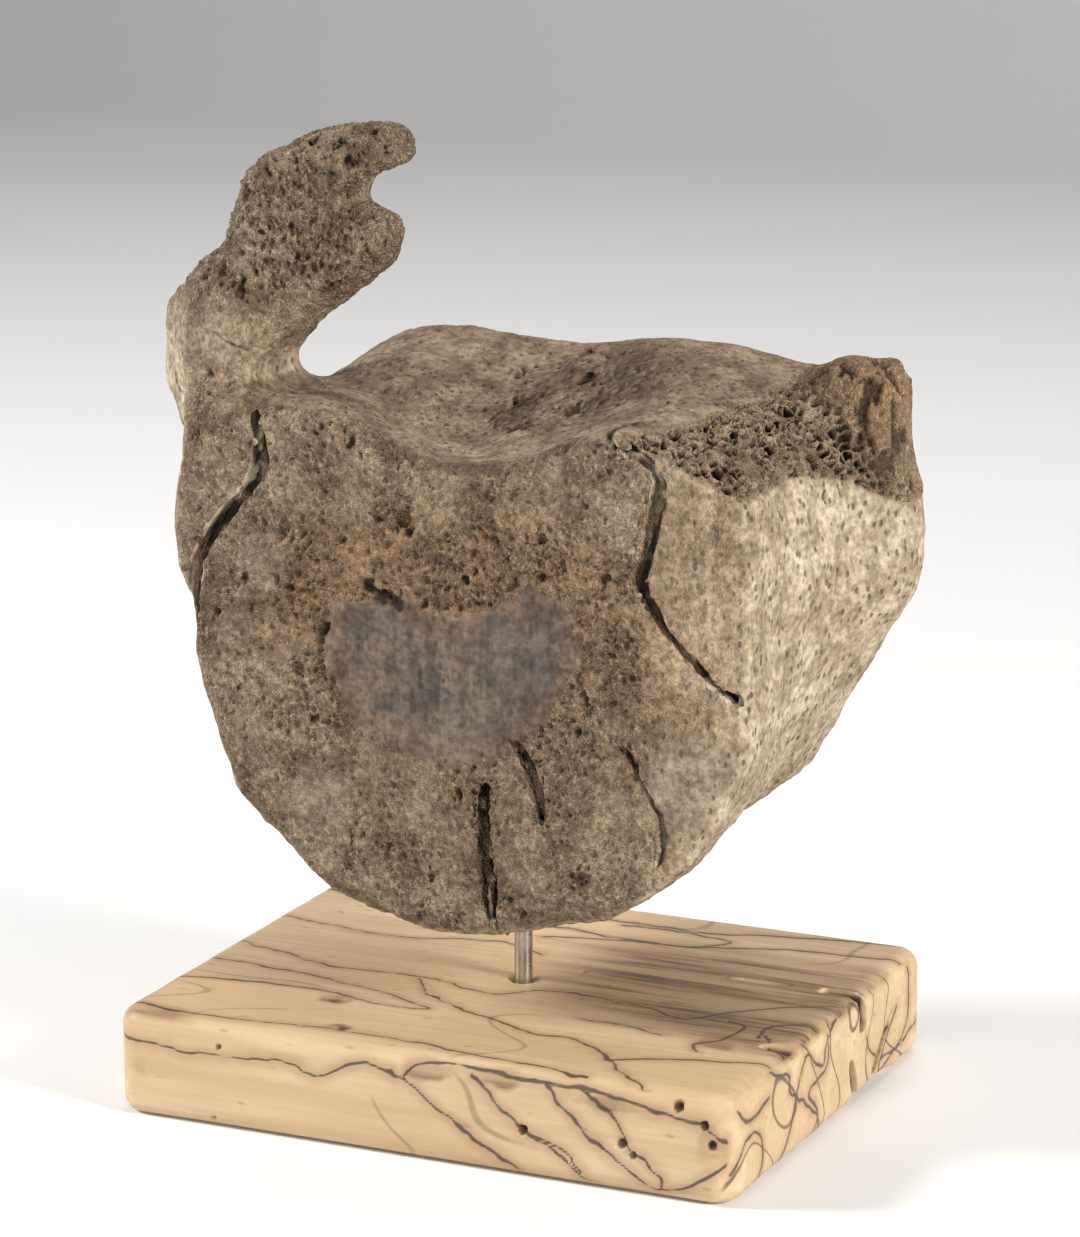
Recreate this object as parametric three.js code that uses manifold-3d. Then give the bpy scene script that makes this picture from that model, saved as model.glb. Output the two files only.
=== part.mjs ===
// Fossil mammoth vertebra on its display mount: a worn thoracic vertebra that has kept its left
// pedicle and a stub of the neural arch, held on one steel rod over a spalted-wood base.
// Millimetres, +Z up, +X to the right and +Y to the back as the front face of the bone is seen.
// The origin is the middle of the base's underside.
import * as THREE from "three";
import { mergeVertices } from "three/addons/utils/BufferGeometryUtils.js";
import Module from "manifold-3d";

const wasm = await Module();
wasm.setup();

const { clamp, lerp, smoothstep } = THREE.MathUtils;

// Driving dimensions

const CONTACT_GAP = 0.3;

const BASE = {
  width: 173,
  depth: 137,
  height: 28.6,
  cornerRadius: 2.5,
  edgeRadius: 4.5,
  edgeSteps: 4,
  cornerSteps: 5,
};

const ROD = {
  diameter: 4.8,
  x: 0,
  y: -2.5,
  depthInBase: 18,
  depthInBone: 32,
  sides: 28,
};

// The rod's hole in the wood has a worn lip, wider than the rod.
const ROD_HOLE_LIP = { diameter: 7.4, depth: 1.1 };

// A slot made by a round cutter in the right end of the base, open to the top and to the end. It
// runs out to nothing at its inner end.
const END_SLOT = { y: 22, width: 4.8, length: 12.5, depth: 10, sides: 28 };

// Hollows left by decay, each an ellipsoid that leans by some degrees about X: two on top, then a
// long and a short crevice in the right end and the worn edge under it.
const WOOD_HOLLOWS = [
  { at: [57, 21.5, 28.6], half: [10, 1.7, 2.6], lean: 0 },
  { at: [82, -26, 28.4], half: [6, 3.4, 2.4], lean: 0 },
  { at: [86.5, 36, 10.5], half: [3, 1.7, 11.5], lean: -46 },
  { at: [86.5, 16, 6], half: [4, 2.4, 8], lean: 20 },
  { at: [88, 31, -0.5], half: [7, 21, 4], lean: 0 },
];
const HOLLOW_SIDES = 14;
const HOLLOW_RINGS = 8;

// The vertebral body: its rim is half an ellipse below the middle and squarer above it.
const BODY = {
  frontY: -45,
  backY: 46,
  middleX: 1,
  middleZ: 125,
  halfWidth: 78,
  below: 75,
  above: 70,
  roundBelow: 2.15,
  squareAbove: 4.4,
  waist: 3.5,
  undersideRise: 9,
  frontDish: 1.5,
  backDish: 5,
  rimBlend: 10,
  topBlend: 6,
};

// The back right of the body stands out past its front.
const FLARE = { width: 14, fromZ: 95, toZ: 145 };
const BACK_BOSS = { at: [82, 36, 143], half: [10, 9, 12], radius: 9, blend: 12 };

// The floor of the neural canal, from the front rim to the back rim.
const CANAL = {
  frontZ: 176,
  backZ: 193,
  frontRise: 13,
  riseFrom: 5,
  riseTo: 48,
  trough: 7,
  midRidge: 3.5,
  midRidgeWidth: 9,
  midRidgeX: 6,
};
const BACK_LIPS = [
  { x: -37, width: 20, rise: 8.5 },
  { x: 30, width: 21, rise: 12 },
];
const BACK_LEFT_FALL = { fromX: -52, toX: -86, drop: 24 };

// The broken root of the right pedicle: a slope that falls away from the canal's edge.
const BREAK = {
  edgeFrontX: 46,
  edgeBackX: 67,
  edgeFrontZ: 187.5,
  edgeBackZ: 190,
  slopeFront: 0.5,
  slopeBack: 0.95,
  blend: 4,
};
const BACK_CORNER = { at: [79, 35, 176], half: [11.5, 11, 18.5], radius: 7, blend: 10 };

// The rib facet turns the right front edge of the body away.
const RIB_FACET = { x: 54, turn: 28, blend: 7 };

const PEDICLE = { at: [-71, -23, 176], half: [9.5, 18.5, 38], radius: 8, blend: 13 };

// The broken stump of the transverse process, swept back along the pedicle's outer side.
const STUMP = {
  from: [-75, -30],
  to: [-93, -13],
  halfThick: 5,
  bottomZ: 150,
  rise: 1.3,
  topZ: 221,
  fall: 0.6,
  blend: 5,
};

// Cracks in the front face: points as [x, z], half the width, and the depth.
const CRACKS = [
  { points: [[41, 187], [54, 177], [52, 157], [51, 147], [65, 127], [73, 119]], half: 1.3, depth: 4 },
  { points: [[8, 93], [8, 76], [10, 49]], half: 1.4, depth: 4.5 },
  { points: [[16, 106], [21, 98], [24, 85]], half: 1, depth: 3 },
  { points: [[46, 107], [56, 88], [55, 77]], half: 0.9, depth: 2.5 },
  { points: [[-55, 184], [-55, 168], [-69, 150], [-74, 134], [-75, 120]], half: 1.5, depth: 4.5 },
];
const CRACK_STEPS_PER_POINT = 3;
const CRACK_END_HALF = 0.25;

// Open pits left by blood vessels in the canal floor, as [x, y, radius].
const VESSEL_PITS = [
  [2, -12, 2.6],
  [13, -2, 2.4],
  [-5, 6, 3],
  [10, 13, 3.2],
  [-12, 20, 2.4],
  [4, 27, 2.8],
  [18, 28, 2.2],
];

// Cavities of the spongy inside, laid bare in rows along the broken pedicle.
const CAVITIES = {
  rows: 2,
  columns: 8,
  radius: 2.9,
  vary: 0.7,
  insetX: 7,
  rowStep: 9,
  stray: 2.6,
  firstColumn: 0.75,
  rowShift: 0.5,
};
// How far each cavity's place and size turn, in radians, from one column and one row to the next.
const CAVITY_TURNS = {
  x: [5.1, 2.3],
  y: [3.7, 1],
  radius: [2.4, 1.7],
};
const PIT_SIDES = 8;
const PIT_RINGS = 5;

// Holes eaten in the front face, as [x, z, radius].
const FACE_PITS = [
  [-20, 139, 3.2],
  [-44, 118, 2.2],
  [-14, 160, 2.4],
  [24, 158, 2.2],
  [-30, 68, 2.3],
  [36, 72, 2.2],
];

// The neural arch as seen from the front, and how deep it is from front to back.
const ARCH_OUTLINE = [
  [-79, 196],
  [-71, 220],
  [-64, 245],
  [-48, 253.5],
  [-26, 256.5],
  [-18.5, 250],
  [-33, 238],
  [-25.5, 229],
  [-29, 220],
  [-47, 206],
  [-57, 197],
];
const ARCH = {
  middleY: -22,
  halfDepth: 17,
  tipHalfDepth: 11,
  tipX: -22,
  rootX: -62,
  edgeBlend: 10,
  blend: 8,
};

// Slow swells that keep the worn surface from looking turned: each axis has its own wave, bent
// by the next axis.
const SWELL = { height: 0.4, waves: [69, 57, 75], bendWaves: [94, 82, 107], bend: 1.4 };

const BONE_CELL = 5.3;
const BONE_BOX = { low: [-104, -58, 40], high: [108, 58, 268] };
const RELAX_ROUNDS = 6;
const SNAP_ROUNDS = 3;

const MATERIALS = {
  bone: new THREE.MeshStandardMaterial({ color: 0xa08b72, roughness: 0.9, metalness: 0 }),
  wood: new THREE.MeshStandardMaterial({ color: 0xd9b988, roughness: 0.55, metalness: 0 }),
  steel: new THREE.MeshStandardMaterial({ color: 0x9b9691, roughness: 0.3, metalness: 1 }),
};

// Distances: negative inside a shape, positive outside, in millimetres

function softMin(a, b, blend) {
  const near = Math.max(blend - Math.abs(a - b), 0) / blend;
  return Math.min(a, b) - (near * near * blend) / 4;
}

function softMax(a, b, blend) {
  return -softMin(-a, -b, blend);
}

function hump(value, middle, width) {
  return Math.exp(-(((value - middle) / width) ** 2));
}

function roundedBox(p, { at, half, radius }) {
  const q = p.map((value, i) => Math.abs(value - at[i]) - half[i] + radius);
  const outside = Math.hypot(...q.map((value) => Math.max(value, 0)));
  return outside + Math.min(Math.max(...q), 0) - radius;
}

// Distance in a plane to a closed outline.
function outlineDistance(x, z, outline) {
  let nearest = Infinity;
  let inside = false;
  outline.forEach(([ax, az], i) => {
    const [bx, bz] = outline[(i + 1) % outline.length];
    const [ex, ez] = [bx - ax, bz - az];
    const share = clamp(((x - ax) * ex + (z - az) * ez) / (ex * ex + ez * ez), 0, 1);
    nearest = Math.min(nearest, Math.hypot(x - ax - ex * share, z - az - ez * share));
    if (az > z !== bz > z && x < ax + (ex * (z - az)) / ez) inside = !inside;
  });
  return inside ? -nearest : nearest;
}

// The body's barrel between its two rims, before the canal is cut in its top.
function barrel(x, y, z) {
  const middleY = (BODY.frontY + BODY.backY) / 2;
  const along = (y - middleY) / ((BODY.backY - BODY.frontY) / 2);
  const waist = BODY.waist * Math.max(0, 1 - along * along);
  const rise = BODY.undersideRise * smoothstep(along, -0.6, 1);
  const flare = x > 0 ? FLARE.width * smoothstep(along, -0.5, 1) * smoothstep(z, FLARE.fromZ, FLARE.toZ) : 0;
  const halfWidth = BODY.halfWidth - waist + flare;
  const [dx, dz] = [x - BODY.middleX, z - BODY.middleZ];
  const [halfHeight, power] =
    dz < 0 ? [BODY.below - waist - rise, BODY.roundBelow] : [BODY.above, BODY.squareAbove];
  const share = (Math.abs(dx / halfWidth) ** power + Math.abs(dz / halfHeight) ** power) ** (1 / power);
  const reach = Math.hypot(dx, dz);
  const side = share < 1e-6 ? -halfHeight : reach - reach / share;
  const hollow = Math.max(0, 1 - (reach / BODY.halfWidth) ** 2);
  const front = BODY.frontY + BODY.frontDish * hollow - y;
  const back = y - BODY.backY + BODY.backDish * hollow;
  return softMax(side, Math.max(front, back), BODY.rimBlend);
}

// Height of the body's top: the canal's floor, and the broken slope to its right.
function topHeight(x, y) {
  const along = clamp((y - BODY.frontY) / (BODY.backY - BODY.frontY), 0, 1);
  const frontZ = CANAL.frontZ + CANAL.frontRise * smoothstep(Math.abs(x), CANAL.riseFrom, CANAL.riseTo);
  const lips = BACK_LIPS.reduce((sum, lip) => sum + lip.rise * hump(x, lip.x, lip.width), 0);
  const fall = BACK_LEFT_FALL.drop * smoothstep(-x, -BACK_LEFT_FALL.fromX, -BACK_LEFT_FALL.toX);
  const backZ = CANAL.backZ + lips - fall;
  const middle = Math.sin(Math.PI * along);
  const relief = CANAL.midRidge * hump(x, CANAL.midRidgeX, CANAL.midRidgeWidth) - CANAL.trough;
  const floor = lerp(frontZ, backZ, smoothstep(along, 0, 1)) + relief * middle;
  const edgeX = lerp(BREAK.edgeFrontX, BREAK.edgeBackX, along);
  const edgeZ = lerp(BREAK.edgeFrontZ, BREAK.edgeBackZ, along);
  const slope = lerp(BREAK.slopeFront, BREAK.slopeBack, along);
  return softMin(floor, edgeZ - slope * (x - edgeX), BREAK.blend);
}

function vertebralBody(x, y, z) {
  const turn = THREE.MathUtils.degToRad(RIB_FACET.turn);
  const facet = (x - RIB_FACET.x) * Math.sin(turn) - (y - BODY.frontY) * Math.cos(turn);
  const cut = softMax(barrel(x, y, z), z - topHeight(x, y), BODY.topBlend);
  const faceted = softMax(cut, facet, RIB_FACET.blend);
  const cornered = softMin(faceted, roundedBox([x, y, z], BACK_CORNER), BACK_CORNER.blend);
  return softMin(cornered, roundedBox([x, y, z], BACK_BOSS), BACK_BOSS.blend);
}

function neuralArch(x, y, z) {
  const toTip = smoothstep(x, ARCH.rootX, ARCH.tipX);
  const halfDepth = lerp(ARCH.halfDepth, ARCH.tipHalfDepth, toTip);
  const outline = outlineDistance(x, z, ARCH_OUTLINE);
  return softMax(outline, Math.abs(y - ARCH.middleY) - halfDepth, ARCH.edgeBlend);
}

function processStump(x, y, z) {
  const [ax, ay] = STUMP.from;
  const [ex, ey] = [STUMP.to[0] - ax, STUMP.to[1] - ay];
  const share = clamp(((x - ax) * ex + (y - ay) * ey) / (ex * ex + ey * ey), 0, 1);
  const side = Math.hypot(x - ax - ex * share, y - ay - ey * share) - STUMP.halfThick;
  const out = share * Math.hypot(ex, ey);
  const top = z - STUMP.topZ + STUMP.fall * out;
  const bottom = STUMP.bottomZ + STUMP.rise * out - z;
  return softMax(side, Math.max(top, bottom), STUMP.halfThick);
}

function swell(x, y, z) {
  const place = [x, y, z];
  const [a, b, c] = SWELL.waves.map((wave, i) => {
    const bent = SWELL.bend * Math.sin((2 * Math.PI * place[(i + 1) % 3]) / SWELL.bendWaves[i]);
    return Math.sin((2 * Math.PI * place[i]) / wave + bent + i);
  });
  return SWELL.height * (a * b + b * c + c * a);
}

function boneDistance(x, y, z) {
  const rooted = softMin(vertebralBody(x, y, z), roundedBox([x, y, z], PEDICLE), PEDICLE.blend);
  const arched = softMin(rooted, neuralArch(x, y, z), ARCH.blend);
  return softMin(arched, processStump(x, y, z), STUMP.blend) + swell(x, y, z);
}

// A closed mesh of the surface where a distance is zero: one vertex in each grid cell that the
// surface crosses, and one four-sided face round each grid edge that it crosses.
function surfaceOf(distance, { low, high }, cell) {
  const counts = low.map((value, i) => Math.ceil((high[i] - value) / cell) + 1);
  const [nx, ny, nz] = counts;
  const indexOf = (i, j, k) => i + nx * (j + ny * k);
  const placeOf = (i, j, k) => [low[0] + i * cell, low[1] + j * cell, low[2] + k * cell];
  const values = new Float64Array(nx * ny * nz);
  for (let k = 0; k < nz; k++)
    for (let j = 0; j < ny; j++)
      for (let i = 0; i < nx; i++) values[indexOf(i, j, k)] = distance(...placeOf(i, j, k));

  const corners = [0, 1, 2, 3, 4, 5, 6, 7].map((n) => [n & 1, (n >> 1) & 1, n >> 2]);
  const edges = corners.flatMap((_, a) => [1, 2, 4].filter((bit) => !(a & bit)).map((bit) => [a, a | bit]));
  const points = [];
  const vertexOf = new Map();
  for (let k = 0; k < nz - 1; k++)
    for (let j = 0; j < ny - 1; j++)
      for (let i = 0; i < nx - 1; i++) {
        const at = corners.map(([di, dj, dk]) => values[indexOf(i + di, j + dj, k + dk)]);
        const crossed = edges.filter(([a, b]) => at[a] < 0 !== at[b] < 0);
        if (!crossed.length) continue;
        const sum = new THREE.Vector3();
        for (const [a, b] of crossed) {
          const share = at[a] / (at[a] - at[b]);
          const step = corners[a].map((value, axis) => value + (corners[b][axis] - value) * share);
          sum.add(new THREE.Vector3(...step));
        }
        sum.multiplyScalar(cell / crossed.length).add(new THREE.Vector3(...placeOf(i, j, k)));
        vertexOf.set(indexOf(i, j, k), points.push(sum) - 1);
      }

  const quads = [];
  const steps = [1, nx, nx * ny];
  for (let k = 1; k < nz - 1; k++)
    for (let j = 1; j < ny - 1; j++)
      for (let i = 1; i < nx - 1; i++) {
        const here = indexOf(i, j, k);
        for (let axis = 0; axis < 3; axis++) {
          const [inside, nextInside] = [values[here] < 0, values[here + steps[axis]] < 0];
          if (inside === nextInside) continue;
          const [u, v] = [steps[(axis + 1) % 3], steps[(axis + 2) % 3]];
          const ring = [here - u - v, here - v, here, here - u].map((cellIndex) => vertexOf.get(cellIndex));
          quads.push(inside ? ring : ring.reverse());
        }
      }
  return { points, quads };
}

// Slides the vertices along the surface to even out the faces, then puts them back on it.
function settle({ points, quads }, distance, cell) {
  const neighbours = points.map(() => new Set());
  for (const quad of quads)
    quad.forEach((vertex, i) => {
      neighbours[vertex].add(quad[(i + 1) % 4]);
      neighbours[quad[(i + 1) % 4]].add(vertex);
    });
  const step = cell / 20;
  const snap = (point) => {
    for (let round = 0; round < SNAP_ROUNDS; round++) {
      const { x, y, z } = point;
      const value = distance(x, y, z);
      const slope = new THREE.Vector3(
        distance(x + step, y, z) - distance(x - step, y, z),
        distance(x, y + step, z) - distance(x, y - step, z),
        distance(x, y, z + step) - distance(x, y, z - step),
      ).divideScalar(2 * step);
      const move = clamp(value / Math.max(slope.lengthSq(), 0.2), -cell / 2, cell / 2);
      point.addScaledVector(slope, -move);
    }
  };
  for (let round = 0; round < RELAX_ROUNDS; round++) {
    const means = points.map((_, i) => {
      const mean = new THREE.Vector3();
      neighbours[i].forEach((other) => mean.add(points[other]));
      return mean.divideScalar(neighbours[i].size);
    });
    points.forEach((point, i) => point.lerp(means[i], 0.5));
    points.forEach(snap);
  }
}

// Each four-sided face is split along its shorter diagonal.
function geometryOf({ points, quads }) {
  const index = quads.flatMap(([a, b, c, d]) =>
    points[a].distanceTo(points[c]) < points[b].distanceTo(points[d])
      ? [a, b, c, a, c, d]
      : [a, b, d, b, c, d],
  );
  return new THREE.BufferGeometry().setFromPoints(points).setIndex(index);
}

// Cutting one closed mesh with others

function solidOf(geometry) {
  const bare = geometry.clone();
  bare.deleteAttribute("normal");
  bare.deleteAttribute("uv");
  const merged = mergeVertices(bare, 1e-4);
  const vertProperties = new Float32Array(merged.attributes.position.array);
  const triVerts = new Uint32Array(merged.index.array);
  const solid = new wasm.Manifold(new wasm.Mesh({ numProp: 3, vertProperties, triVerts }));
  if (solid.volume() > 0) return solid;
  return new wasm.Manifold(new wasm.Mesh({ numProp: 3, vertProperties, triVerts: triVerts.reverse() }));
}

function cutGeometry(geometry, cutters) {
  const cut = cutters.reduce((solid, cutter) => solid.subtract(solidOf(cutter)), solidOf(geometry));
  const [largest] = cut.decompose().sort((a, b) => b.volume() - a.volume());
  const { vertProperties, triVerts } = largest.getMesh();
  return new THREE.BufferGeometry()
    .setAttribute("position", new THREE.BufferAttribute(vertProperties, 3))
    .setIndex(new THREE.BufferAttribute(triVerts, 1));
}

// An upright round bar between two heights on the rod's axis.
function barOnRodAxis(diameter, bottomZ, topZ) {
  return new THREE.CylinderGeometry(diameter / 2, diameter / 2, topZ - bottomZ, ROD.sides)
    .rotateX(Math.PI / 2)
    .translate(ROD.x, ROD.y, (topZ + bottomZ) / 2);
}

// The lowest height at which the rod's axis enters the bone.
function boneUnderside() {
  let z = BASE.height;
  while (boneDistance(ROD.x, ROD.y, z) > 0) z += 0.05;
  return z;
}

const rodBottomZ = BASE.height - ROD.depthInBase;
const rodTopZ = boneUnderside() + ROD.depthInBone;
const rodHoleDiameter = ROD.diameter + 2 * CONTACT_GAP;

// Depth at which the front face lies behind a point of it.
function frontFaceY(x, z) {
  let y = BONE_BOX.low[1];
  while (boneDistance(x, y, z) > 0 && y < 0) y += 0.1;
  return y;
}

// A slot that follows the front face, widest in the middle of its run and closing to each end.
function crackCutter({ points, half, depth }) {
  const path = new THREE.SplineCurve(points.map(([x, z]) => new THREE.Vector2(x, z)));
  const count = CRACK_STEPS_PER_POINT * points.length;
  const sides = [1, -1].map((side) =>
    path.getPoints(count).map((place, i) => {
      const along = path.getTangent(i / count);
      const width = side * (CRACK_END_HALF + half * Math.sin((Math.PI * i) / count));
      return new THREE.Vector2(place.x - along.y * width, place.y + along.x * width);
    }),
  );
  const outline = new THREE.Shape([...sides[0], ...sides[1].reverse()]);
  const slot = new THREE.ExtrudeGeometry(outline, { depth: 1, steps: 1, bevelEnabled: false });
  const places = slot.attributes.position;
  for (let i = 0; i < places.count; i++) {
    const [x, z, deep] = [places.getX(i), places.getY(i), places.getZ(i)];
    places.setXYZ(i, x, frontFaceY(x, z) + lerp(-depth, depth, deep), z);
  }
  return slot;
}

function pitCutter(x, y, z, radius) {
  return new THREE.SphereGeometry(radius, PIT_SIDES, PIT_RINGS).translate(x, y, z);
}

// Cavities sit in staggered rows on the broken slope, larger and smaller by turns.
function cavityCutters() {
  const cutters = [];
  for (let row = 0; row < CAVITIES.rows; row++)
    for (let column = 0; column < CAVITIES.columns; column++) {
      const turned = ([byColumn, byRow]) => Math.sin(byColumn * column + byRow * row);
      const along = (column + CAVITIES.firstColumn + CAVITIES.rowShift * row) / (CAVITIES.columns + 1);
      const strayX = CAVITIES.stray * turned(CAVITY_TURNS.x);
      const strayY = CAVITIES.stray * turned(CAVITY_TURNS.y);
      const y = lerp(BODY.frontY, BODY.backY, along) - BACK_CORNER.half[1] * along + strayY;
      const edgeX = lerp(BREAK.edgeFrontX, BREAK.edgeBackX, along);
      const x = edgeX + CAVITIES.insetX + CAVITIES.rowStep * row + strayX;
      const radius = CAVITIES.radius + CAVITIES.vary * turned(CAVITY_TURNS.radius);
      cutters.push(pitCutter(x, y, topHeight(x, y), radius));
    }
  return cutters;
}

function vertebra() {
  const surface = surfaceOf(boneDistance, BONE_BOX, BONE_CELL);
  settle(surface, boneDistance, BONE_CELL);
  return cutGeometry(geometryOf(surface), [
    barOnRodAxis(rodHoleDiameter, BASE.height, rodTopZ + CONTACT_GAP),
    ...CRACKS.map(crackCutter),
    ...VESSEL_PITS.map(([x, y, radius]) => pitCutter(x, y, topHeight(x, y), radius)),
    ...cavityCutters(),
    ...FACE_PITS.map(([x, z, radius]) => pitCutter(x, frontFaceY(x, z), z, radius)),
  ]);
}

// A plank with rounded corners and edges, lying on the floor.
function plank() {
  const inset = BASE.edgeRadius;
  const [halfX, halfY] = [BASE.width / 2 - inset, BASE.depth / 2 - inset];
  const radius = BASE.cornerRadius;
  const outline = new THREE.Shape();
  outline.moveTo(-halfX + radius, -halfY);
  outline.lineTo(halfX - radius, -halfY);
  outline.absarc(halfX - radius, -halfY + radius, radius, -Math.PI / 2, 0);
  outline.lineTo(halfX, halfY - radius);
  outline.absarc(halfX - radius, halfY - radius, radius, 0, Math.PI / 2);
  outline.lineTo(-halfX + radius, halfY);
  outline.absarc(-halfX + radius, halfY - radius, radius, Math.PI / 2, Math.PI);
  outline.lineTo(-halfX, -halfY + radius);
  outline.absarc(-halfX + radius, -halfY + radius, radius, Math.PI, 1.5 * Math.PI);
  return new THREE.ExtrudeGeometry(outline, {
    depth: BASE.height - 2 * inset,
    bevelThickness: inset,
    bevelSize: inset,
    bevelSegments: BASE.edgeSteps,
    curveSegments: BASE.cornerSteps,
  }).translate(0, 0, inset);
}

function woodBase() {
  const rodHole = barOnRodAxis(rodHoleDiameter, rodBottomZ - CONTACT_GAP, BASE.height + 1);
  const lip = barOnRodAxis(ROD_HOLE_LIP.diameter, BASE.height - ROD_HOLE_LIP.depth, BASE.height + 1);
  const slot = new THREE.CylinderGeometry(1, 1, END_SLOT.width, END_SLOT.sides)
    .scale(END_SLOT.length, 1, END_SLOT.depth)
    .translate(BASE.width / 2, END_SLOT.y, BASE.height);
  const hollows = WOOD_HOLLOWS.map(({ at, half, lean }) =>
    new THREE.SphereGeometry(1, HOLLOW_SIDES, HOLLOW_RINGS)
      .scale(...half)
      .rotateX(THREE.MathUtils.degToRad(lean))
      .translate(...at),
  );
  return cutGeometry(plank(), [rodHole, lip, slot, ...hollows]);
}

function steelRod() {
  return barOnRodAxis(ROD.diameter, rodBottomZ, rodTopZ);
}

function named(name, geometry, material) {
  const mesh = new THREE.Mesh(geometry, material);
  mesh.name = name;
  return mesh;
}

const mountedVertebra = new THREE.Group();
mountedVertebra.add(
  named("vertebra", vertebra(), MATERIALS.bone),
  named("mount_rod", steelRod(), MATERIALS.steel),
  named("wood_base", woodBase(), MATERIALS.wood),
);

export default mountedVertebra;
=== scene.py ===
"""Mounted fossil vertebra: weathered bone, steel rod and spalted-wood plank, dressed for a studio view.

Lengths inside the shaping functions are millimetres in the part's own frame; Blender gets metres.
"""
import math

import bmesh
import bpy
import numpy as np
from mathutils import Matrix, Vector


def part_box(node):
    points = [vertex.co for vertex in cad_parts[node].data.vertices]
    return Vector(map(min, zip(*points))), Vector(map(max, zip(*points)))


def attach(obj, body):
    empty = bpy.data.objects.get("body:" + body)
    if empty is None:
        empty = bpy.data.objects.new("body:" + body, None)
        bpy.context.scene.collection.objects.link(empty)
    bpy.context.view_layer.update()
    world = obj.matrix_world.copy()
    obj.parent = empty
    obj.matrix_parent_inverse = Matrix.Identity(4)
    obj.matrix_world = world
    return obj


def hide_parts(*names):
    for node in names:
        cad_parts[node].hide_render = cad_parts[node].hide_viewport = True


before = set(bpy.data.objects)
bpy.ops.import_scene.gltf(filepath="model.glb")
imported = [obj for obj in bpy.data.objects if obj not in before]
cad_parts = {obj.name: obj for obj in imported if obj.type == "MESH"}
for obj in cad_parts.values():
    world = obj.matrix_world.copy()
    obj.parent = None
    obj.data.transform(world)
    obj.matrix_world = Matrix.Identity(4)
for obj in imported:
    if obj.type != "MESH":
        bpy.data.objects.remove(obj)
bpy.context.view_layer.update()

MM = 0.001

# Camera, fitted to the plank's edges in the photograph
CAMERA_PLACE = (0.4981, -1.0840, 0.4198)
CAMERA_TARGET = (0.0036, 0.0, 0.1261)
CAMERA_LENS = 138.0

# Bone: the front face and the back of the vertebral body, and the broken edge right of the canal
FRONT_Y, BACK_Y = -45.0, 46.0
BREAK_EDGE_X = (46.0, 67.0)
BREAK_EDGE_Z = 189.0
BREAK_SLOPE = (0.5, 0.95)
BODY_MIDDLE = (1.0, 125.0)
BODY_HALF = (78.0, 73.0)

# Outlines on the front face, as (x, z)
GREY_HEART = [(-34, 137), (-36, 124), (-30, 108), (-17, 99.5), (0, 98), (16, 104), (28, 117), (33, 131),
              (30, 141), (20, 145), (8, 139), (-4, 136), (-15, 141), (-23, 138)]
GREY_SPOTS = [((-54, 145), 7.5), ((-61.5, 128), 5.0), ((-38, 84), 9.0), ((63, 97), 13.0)]

# Cracks on the front face: points as (x, z), half width, depth
FRONT_CRACKS = [
    ([(41, 186), (52.5, 178.5), (55.5, 171), (51.5, 156), (50.5, 147), (58, 136.5), (65, 127), (72, 120)],
     1.0, 3.4),
    ([(50.5, 147), (46, 141), (45, 132)], 0.7, 1.8),
    ([(8, 92), (7.4, 84), (8.8, 76), (8.2, 68), (9.5, 58)], 1.1, 4.0),
    ([(16, 106), (19.5, 100), (23, 94), (24, 86)], 0.8, 2.2),
    ([(46, 107), (51, 98), (56, 88), (55, 78)], 0.7, 1.8),
    ([(26, 133), (30, 127), (34, 121), (36, 112)], 0.8, 2.0),
    ([(-55, 183), (-54.5, 176), (-55.5, 168), (-61, 160), (-69, 150), (-73, 136), (-73, 124)], 1.2, 3.6),
    ([(-7, 130), (-5, 125), (-3, 119)], 0.6, 1.6),
    ([(-68, 204), (-62, 199), (-56, 193)], 0.7, 1.8),
    ([(-24, 142), (-19, 140), (-15, 137.5)], 1.8, 3.2),
    ([(-28, 96), (-36, 92), (-41, 85)], 0.6, 1.4),
]

# Hollows in the bone: how far apart they lie, and how deep they go
SPONGE_SIZE = 1.6
PIT_SIZE, PIT_DEPTH = 4.4, 1.5
HONEYCOMB_SIZE, HONEYCOMB_DEPTH = 2.6, 2.6
SHRED_SIZE, SHRED_DEPTH = 2.6, 1.7
PORE_SIZE, PORE_DEPTH = 2.6, 1.15
VESSEL_SIZE, VESSEL_DEPTH = 3.0, 1.7
DEEPEST, HIGHEST = -6.5, 1.5
BONE_DIVISIONS = 3

# Notch between the two lobes of the arch: its middle as (x, z), how it leans, half width and depth
NOTCH = {"middle": (-25, 239), "lean": 0.25, "half_width": 4.2, "depth": 5.0}

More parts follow.
